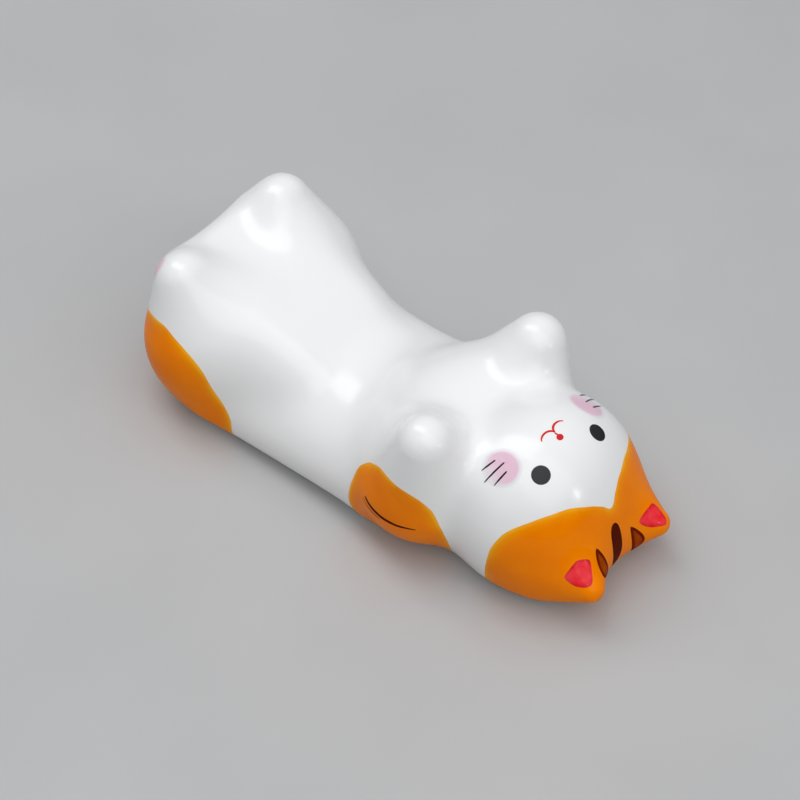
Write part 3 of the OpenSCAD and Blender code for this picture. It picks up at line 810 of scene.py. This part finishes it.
# %% Mix the glaze
PORCELAIN_COOL, PORCELAIN_WARM = (0.81, 0.815, 0.83), (0.85, 0.848, 0.842)
SHINE_THROUGH, SHINE_DEPTH = 0.2, 1.2   # share and depth in mm of light that enters the white
glaze, tree, shader = finish_named("clear_glaze_over_porcelain")
glossy(shader)
shader.inputs["Subsurface Weight"].default_value = SHINE_THROUGH
shader.inputs["Subsurface Radius"].default_value = (1, 0.9, 0.8)
shader.inputs["Subsurface Scale"].default_value = SHINE_DEPTH * MM
tree.links.new(ramp(tree, noise(tree, 9), [(0.35, PORCELAIN_COOL), (0.65, PORCELAIN_WARM)]),
               shader.inputs["Base Color"])
ripple(tree, shader, depth_mm=0.05, size_mm=6)
print("the glaze runs from", PORCELAIN_COOL, "to", PORCELAIN_WARM)

# %% [markdown]
# ## The unglazed foot
#
# The foot is wiped free of glaze before firing, or it would stick to the
# kiln shelf. There the bare, dull and slightly warm biscuit shows, with the
# fine grain of the clay. It is the same mesh as the glazed skin: the faces
# below the wiped line get a second material slot.

# %% Mix the biscuit
BISCUIT_DARK, BISCUIT_LIGHT = (0.70, 0.68, 0.63), (0.78, 0.77, 0.73)
BISCUIT_ROUGH = 0.75
GRAIN_SIZE, GRAIN_DEPTH = 0.25, 0.02   # in mm
biscuit, tree, shader = finish_named("unglazed_biscuit")
shader.inputs["Roughness"].default_value = BISCUIT_ROUGH
tree.links.new(ramp(tree, noise(tree, 0.8, 6), [(0.3, BISCUIT_DARK), (0.7, BISCUIT_LIGHT)]),
               shader.inputs["Base Color"])
grain = tree.nodes.new("ShaderNodeBump")
grain.inputs["Distance"].default_value = GRAIN_DEPTH * MM
tree.links.new(noise(tree, GRAIN_SIZE, 6), grain.inputs["Height"])
tree.links.new(grain.outputs["Normal"], shader.inputs["Normal"])
print("the biscuit's grain is", GRAIN_SIZE, "mm wide")

# %% Give the body its two finishes
FOOT_WIPED = 0.35   # the glaze ends at this height, in mm
body.data.materials.append(glaze)
body.data.materials.append(biscuit)
centres = np.zeros(len(body.data.polygons) * 3)
body.data.polygons.foreach_get("center", centres)
wiped = (centres.reshape(-1, 3)[:, 2] < FOOT_WIPED * MM).astype(int)
body.data.polygons.foreach_set("material_index", wiped)
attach(body, "root")
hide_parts("porcelain_body")
print("glazed faces:", int((wiped == 0).sum()), "bare faces:", int(wiped.sum()))

# %% [markdown]
# ## The enamels
#
# A thin enamel lets the white below shine through, so each colour turns
# lighter towards its rim, and the brush leaves it a little uneven. The blush
# fades into the porcelain's own white. The stripes are darkest along their
# rims, where the wet colour gathers as it dries. Each finish therefore reads
# how far a point lies from its coat's rim.

# %% A finish for enamel
ENAMEL_INDEX = 1.3    # refraction of its glass: it mirrors less than clear glaze, at 1.5
BLOTCH_SHARE = 0.55   # how much of the second colour a blotch holds


def enamel(name, pieces, rim_stops, rim_mm, blotch, blotch_mm=1.6, fade=None, gloss=1.0):
    """An enamel whose colours run from the rim inwards, mixed with a second colour in blotches.

    With fade, it thins out to the first rim colour from the second to the first value of how
    far outwards a point lies. gloss is the share of the surface that is covered with glass."""
    made, tree, shader = finish_named(name)
    glossy(shader, ENAMEL_INDEX, gloss)
    inward = ramp(tree, kept_share(tree, "from_rim", 0, rim_mm), rim_stops)
    spread = ramp(tree, noise(tree, blotch_mm, 4), [(0.38, (0, 0, 0)), (0.66, (1, 1, 1))])
    colour = mix(tree, product(tree, spread, BLOTCH_SHARE), inward, blotch)
    if fade:
        thick = kept_share(tree, "from_rim", 0, rim_mm)
        behind = kept_share(tree, "outwards", *fade)
        colour = mix(tree, product(tree, thick, behind), rim_stops[0][1], colour)
    tree.links.new(colour, shader.inputs["Base Color"])
    ripple(tree, shader, depth_mm=0.02, size_mm=4)
    for piece in pieces:
        piece.data.materials.append(made)
    print(name, "on", len(pieces), "pieces")


# %% [markdown]
# ### Amber on the patches
#
# The orange is yellow where it is thin, along its brims, and deepens inwards
# over a millimetre and a half. It mirrors less than the bare glaze.

# %% Colour the patches
enamel("amber_enamel", patches,
       [(0.0, (1.0, 0.46, 0.015)), (0.25, (1.0, 0.33, 0.0)), (1.0, (1.0, 0.25, 0.0))], rim_mm=1.5,
       blotch=(0.94, 0.2, 0.0), blotch_mm=3.5, gloss=0.4)

# %% [markdown]
# ### Umber on the stripes and the elbow
#
# The middle stripe and the elbow line are brushed full and stay dark. The two
# outer stripes are an outline that was filled in thinly, so that the orange
# glows through their middle.

# %% Colour the stripes and the line
enamel("umber_enamel", [stripes[0], elbow_line],
       [(0.0, (0.05, 0.003, 0.0)), (1.0, (0.09, 0.006, 0.0))], rim_mm=0.3,
       blotch=(0.11, 0.009, 0.0), gloss=0.12)
enamel("umber_outline_enamel", stripes[1:],
       [(0.0, (0.09, 0.004, 0.0)), (0.6, (0.17, 0.012, 0.0)), (1.0, (0.42, 0.062, 0.0))],
       rim_mm=0.5, blotch=(0.24, 0.022, 0.0), blotch_mm=0.8, gloss=0.12)

# %% [markdown]
# ### Black, rose, scarlet and coral
#
# The black of the eyes and whiskers is fully glossy, and so is the red of the
# nose and mouth. The rose of cheeks and pads starts from the white of the
# porcelain at its rim, which makes the sponge's soft edge without any
# see-through material. The coral of the ears is a strong pink with paler
# blotches and a deep red rim.

# %% Colour the face, the pads and the ears
enamel("black_enamel", eyes + whiskers,
       [(0.0, (0.05, 0.042, 0.045)), (1.0, (0.026, 0.026, 0.027))], rim_mm=0.12,
       blotch=(0.018, 0.018, 0.018))
enamel("rose_enamel", cheeks + pads,
       [(0.0, (0.83, 0.82, 0.83)), (0.5, (0.81, 0.60, 0.70)), (1.0, (0.80, 0.53, 0.65))],
       rim_mm=0.6, blotch=(0.81, 0.6, 0.69), blotch_mm=1.1, fade=(1.15, 0.5))
enamel("scarlet_enamel", [nose, mouth],
       [(0.0, (0.74, 0.05, 0.04)), (1.0, (0.62, 0.012, 0.015))], rim_mm=0.12,
       blotch=(0.7, 0.03, 0.03))
enamel("coral_enamel", linings,
       [(0.0, (0.6, 0.002, 0.006)), (0.35, (0.8, 0.006, 0.014)), (1.0, (0.9, 0.018, 0.03))],
       rim_mm=0.5, blotch=(1.0, 0.09, 0.11), blotch_mm=1.2, gloss=0.7)

# %% [markdown]
# ## The table
#
# A plain pale table carries the cat and takes its shadow. It reaches past the
# edges of the picture, and it is dull, so that it mirrors nothing. It is no
# part of the object.

# %% Lay the table
FLOOR = 3000        # width of the table, in mm
TABLE_ROUGH = 0.6
TABLE_DARK, TABLE_LIGHT = (0.46, 0.46, 0.455), (0.49, 0.49, 0.485)
floor_mesh = bpy.data.meshes.new("table_top")
floor_mesh.from_pydata([(x * FLOOR * MM / 2, y * FLOOR * MM / 2, 0) for x, y in
                        ((-1, -1), (1, -1), (1, 1), (-1, 1))], [], [(0, 1, 2, 3)])
floor = link("table_top", floor_mesh)
pale, tree, shader = finish_named("pale_table")
shader.inputs["Roughness"].default_value = TABLE_ROUGH
tree.links.new(ramp(tree, noise(tree, 30, 4), [(0.3, TABLE_DARK), (0.7, TABLE_LIGHT)]),
               shader.inputs["Base Color"])
floor_mesh.materials.append(pale)
print("the table is", FLOOR, "mm wide")

# %% [markdown]
# ## The lamps
#
# Gloss shows the shape of its lamps, so the lamps are placed for what they
# mirror. The photograph's highlights lie on the belly, the rump and the tips
# of the paws and arms, in bars with soft gaps: a window with bars. So four
# long narrow lamps hang side by side high above the cat's rear. A large soft
# lamp at the front right fills the near side, and a small low one at the
# right draws the spots beside the orange cap. All are weak, as the object is
# small and close to them.

# %% Hang the lamps
def lamp(name, azimuth, elevation, distance, size, power):
    """A soft lamp that faces the cat, one side level. Sizes in millimetres, power in watts."""
    data = bpy.data.lights.new(name, "AREA")
    data.shape = "RECTANGLE"
    data.size, data.size_y = (v * MM for v in size)
    data.energy = power
    a, e = math.radians(azimuth), math.radians(elevation)
    way = Vector((math.sin(a) * math.cos(e), -math.cos(a) * math.cos(e), math.sin(e)))
    along = Vector((1, 0, 0)) if abs(way.x) < 0.9 else Vector((0, 1, 0))
    side = (along - way * along.dot(way)).normalized()
    made = bpy.data.objects.new(name, data)
    made.matrix_world = (Matrix.Translation(way * distance * MM)
                         @ Matrix((side, way.cross(side), way)).transposed().to_4x4())
    bpy.context.scene.collection.objects.link(made)
    print(f"{name}: {power} W from {distance} mm")


LAMP_DISTANCE = 500
WINDOW_BARS = [(-71, 65), (-83, 66), (-97, 66), (-109, 65)]   # azimuth and elevation of each
WINDOW_BAR, WINDOW_POWER = (420, 36), 0.18
for number, (azimuth, elevation) in enumerate(WINDOW_BARS):
    lamp(f"strip_{number}", azimuth, elevation, LAMP_DISTANCE, WINDOW_BAR, WINDOW_POWER)
lamp("front_lamp", 62, 56, LAMP_DISTANCE, size=(600, 400), power=0.92)
lamp("right_lamp", 96, 22, LAMP_DISTANCE, size=(16, 90), power=0.12)

# %% [markdown]
# ## The sky
#
# A soft sky lights what the lamps don't reach. It is bright above and almost
# dark at the horizon, as in a room with a pale ceiling, and this leaves the
# steep sides of the cat in a gentle shade that shows their form.

# %% Paint the sky
SKY_COLOUR = (0.93, 0.95, 1)
SKY_LOW, SKY_HIGH = 0.02, 0.76   # strength at the horizon and straight above
world = bpy.data.worlds.new("soft_sky")
bpy.context.scene.world = world
world.use_nodes = True
tree = world.node_tree
way = tree.nodes.new("ShaderNodeTexCoord")
split = tree.nodes.new("ShaderNodeSeparateXYZ")
tree.links.new(way.outputs["Generated"], split.inputs["Vector"])
height = tree.nodes.new("ShaderNodeMapRange")
height.inputs["To Min"].default_value, height.inputs["To Max"].default_value = SKY_LOW, SKY_HIGH
tree.links.new(split.outputs["Z"], height.inputs["Value"])
sky = tree.nodes["Background"]
sky.inputs["Color"].default_value = (*SKY_COLOUR, 1)
tree.links.new(height.outputs["Result"], sky.inputs["Strength"])
bpy.context.scene.view_settings.view_transform = "Standard"
print("the sky's strength runs from", SKY_LOW, "to", SKY_HIGH)
